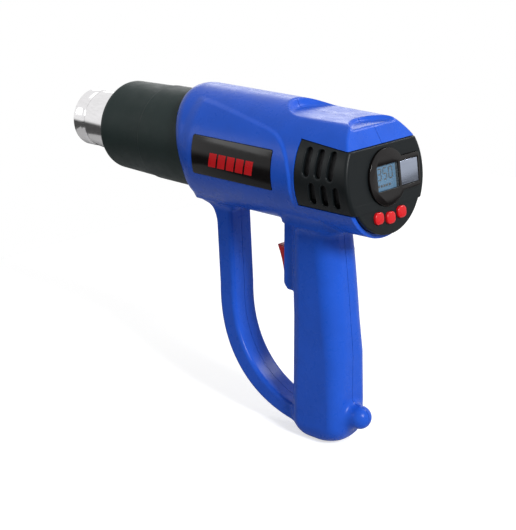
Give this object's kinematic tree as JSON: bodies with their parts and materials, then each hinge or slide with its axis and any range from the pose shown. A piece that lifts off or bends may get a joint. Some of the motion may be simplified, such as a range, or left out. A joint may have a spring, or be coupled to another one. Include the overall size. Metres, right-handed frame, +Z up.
{
  "type": "hot air tool",
  "caption": "Pistol-shaped hot air tool with a loop handle, steel nozzle, black heat guard, rocker switch and a rear display with push buttons.",
  "frame": {"origin": "middle of the grip, halfway up the handle, in the middle plane", "axes": "+Z up along the handle, -X along the barrel towards the nozzle, +X towards the display, +Y to the tool's right seen from behind"},
  "size_m": [0.2437, 0.0726, 0.1996],
  "materials": {
    "blue_plastic": "satin moulded blue plastic",
    "black_plastic": "fine grained black plastic",
    "gloss_black_plastic": "polished black plastic",
    "red_plastic": "polished red plastic",
    "polished_steel": "polished, slightly blued by heat",
    "zinc_steel": "zinc-plated",
    "copper": "copper and bronze",
    "mica": "mica board",
    "nylon": "natural nylon",
    "board_green": "circuit board",
    "lcd": "grey-green liquid crystal panel",
    "window": "clear moulded window",
    "silver_plate": "polished silver plate",
    "rubber": "black rubber",
    "ferrite": "sintered ferrite",
    "red_lead": "red silicone insulation"
  },
  "bodies": {
    "housing": {"body_shell_left": "blue_plastic", "body_shell_right": "blue_plastic", "shell_screw_1": "zinc_steel", "shell_screw_2": "zinc_steel", "shell_screw_3": "zinc_steel", "shell_screw_4": "zinc_steel", "shell_screw_5": "zinc_steel", "shell_screw_6": "zinc_steel", "rear_cover": "black_plastic", "display_bezel": "gloss_black_plastic", "display_window": "window", "display_side_plate": "silver_plate", "lcd_panel": "lcd", "lcd_holder": "nylon", "display_board": "board_green", "board_screw_left": "zinc_steel", "board_screw_right": "zinc_steel", "tact_switch_1": "black_plastic", "tact_switch_2": "black_plastic", "tact_switch_3": "black_plastic", "intake_screen_left": "zinc_steel", "intake_screen_right": "zinc_steel", "side_plate_left": "gloss_black_plastic", "side_plate_right": "gloss_black_plastic", "switch_body": "black_plastic", "nozzle_tube": "polished_steel", "heat_guard": "black_plastic", "mica_sleeve": "mica", "heater_core": "mica", "heating_coil": "zinc_steel", "outlet_grille": "mica", "heater_base": "mica", "thermocouple": "zinc_steel", "thermal_cutout": "nylon", "motor_can": "zinc_steel", "motor_end_cap": "nylon", "front_bush": "copper", "rear_bush": "copper", "magnet_left": "ferrite", "magnet_right": "ferrite", "air_guide": "black_plastic", "fan_shroud": "black_plastic", "control_board": "board_green", "heat_sink": "silver_plate", "smoothing_capacitor": "black_plastic", "interference_capacitor": "nylon", "triac": "black_plastic", "terminal_block": "nylon", "cord_clamp": "black_plastic", "cord_inlet_bush": "rubber", "heater_lead_left": "rubber", "heater_lead_right": "red_lead"},
    "rotor": {"motor_shaft": "polished_steel", "armature": "copper", "commutator": "copper", "fan_impeller": "nylon"},
    "down_button": {"button_down": "red_plastic"},
    "mode_button": {"button_mode": "red_plastic"},
    "up_button": {"button_up": "red_plastic"},
    "rocker": {"switch_rocker": "red_plastic"}
  },
  "joints": [
    {"name": "rotor_spin", "type": "hinge", "parent": "housing", "child": "rotor", "pos_m": [-0.012, 0, 0.08], "axis": [1, 0, 0], "continuous": true},
    {"name": "down_button_press", "type": "slide", "parent": "housing", "child": "down_button", "axis": [-0.9903, 0, -0.1392], "range_m": [0, 0.0008], "stiffness_N_per_m": 1500},
    {"name": "mode_button_press", "type": "slide", "parent": "housing", "child": "mode_button", "axis": [-0.9903, 0, -0.1392], "range_m": [0, 0.0008], "stiffness_N_per_m": 1500},
    {"name": "up_button_press", "type": "slide", "parent": "housing", "child": "up_button", "axis": [-0.9903, 0, -0.1392], "range_m": [0, 0.0008], "stiffness_N_per_m": 1500},
    {"name": "rocker_tilt", "type": "hinge", "parent": "housing", "child": "rocker", "pos_m": [-0.0195, 0, 0.02], "axis": [0, 1, 0], "range_deg": [0, 30]}
  ]
}
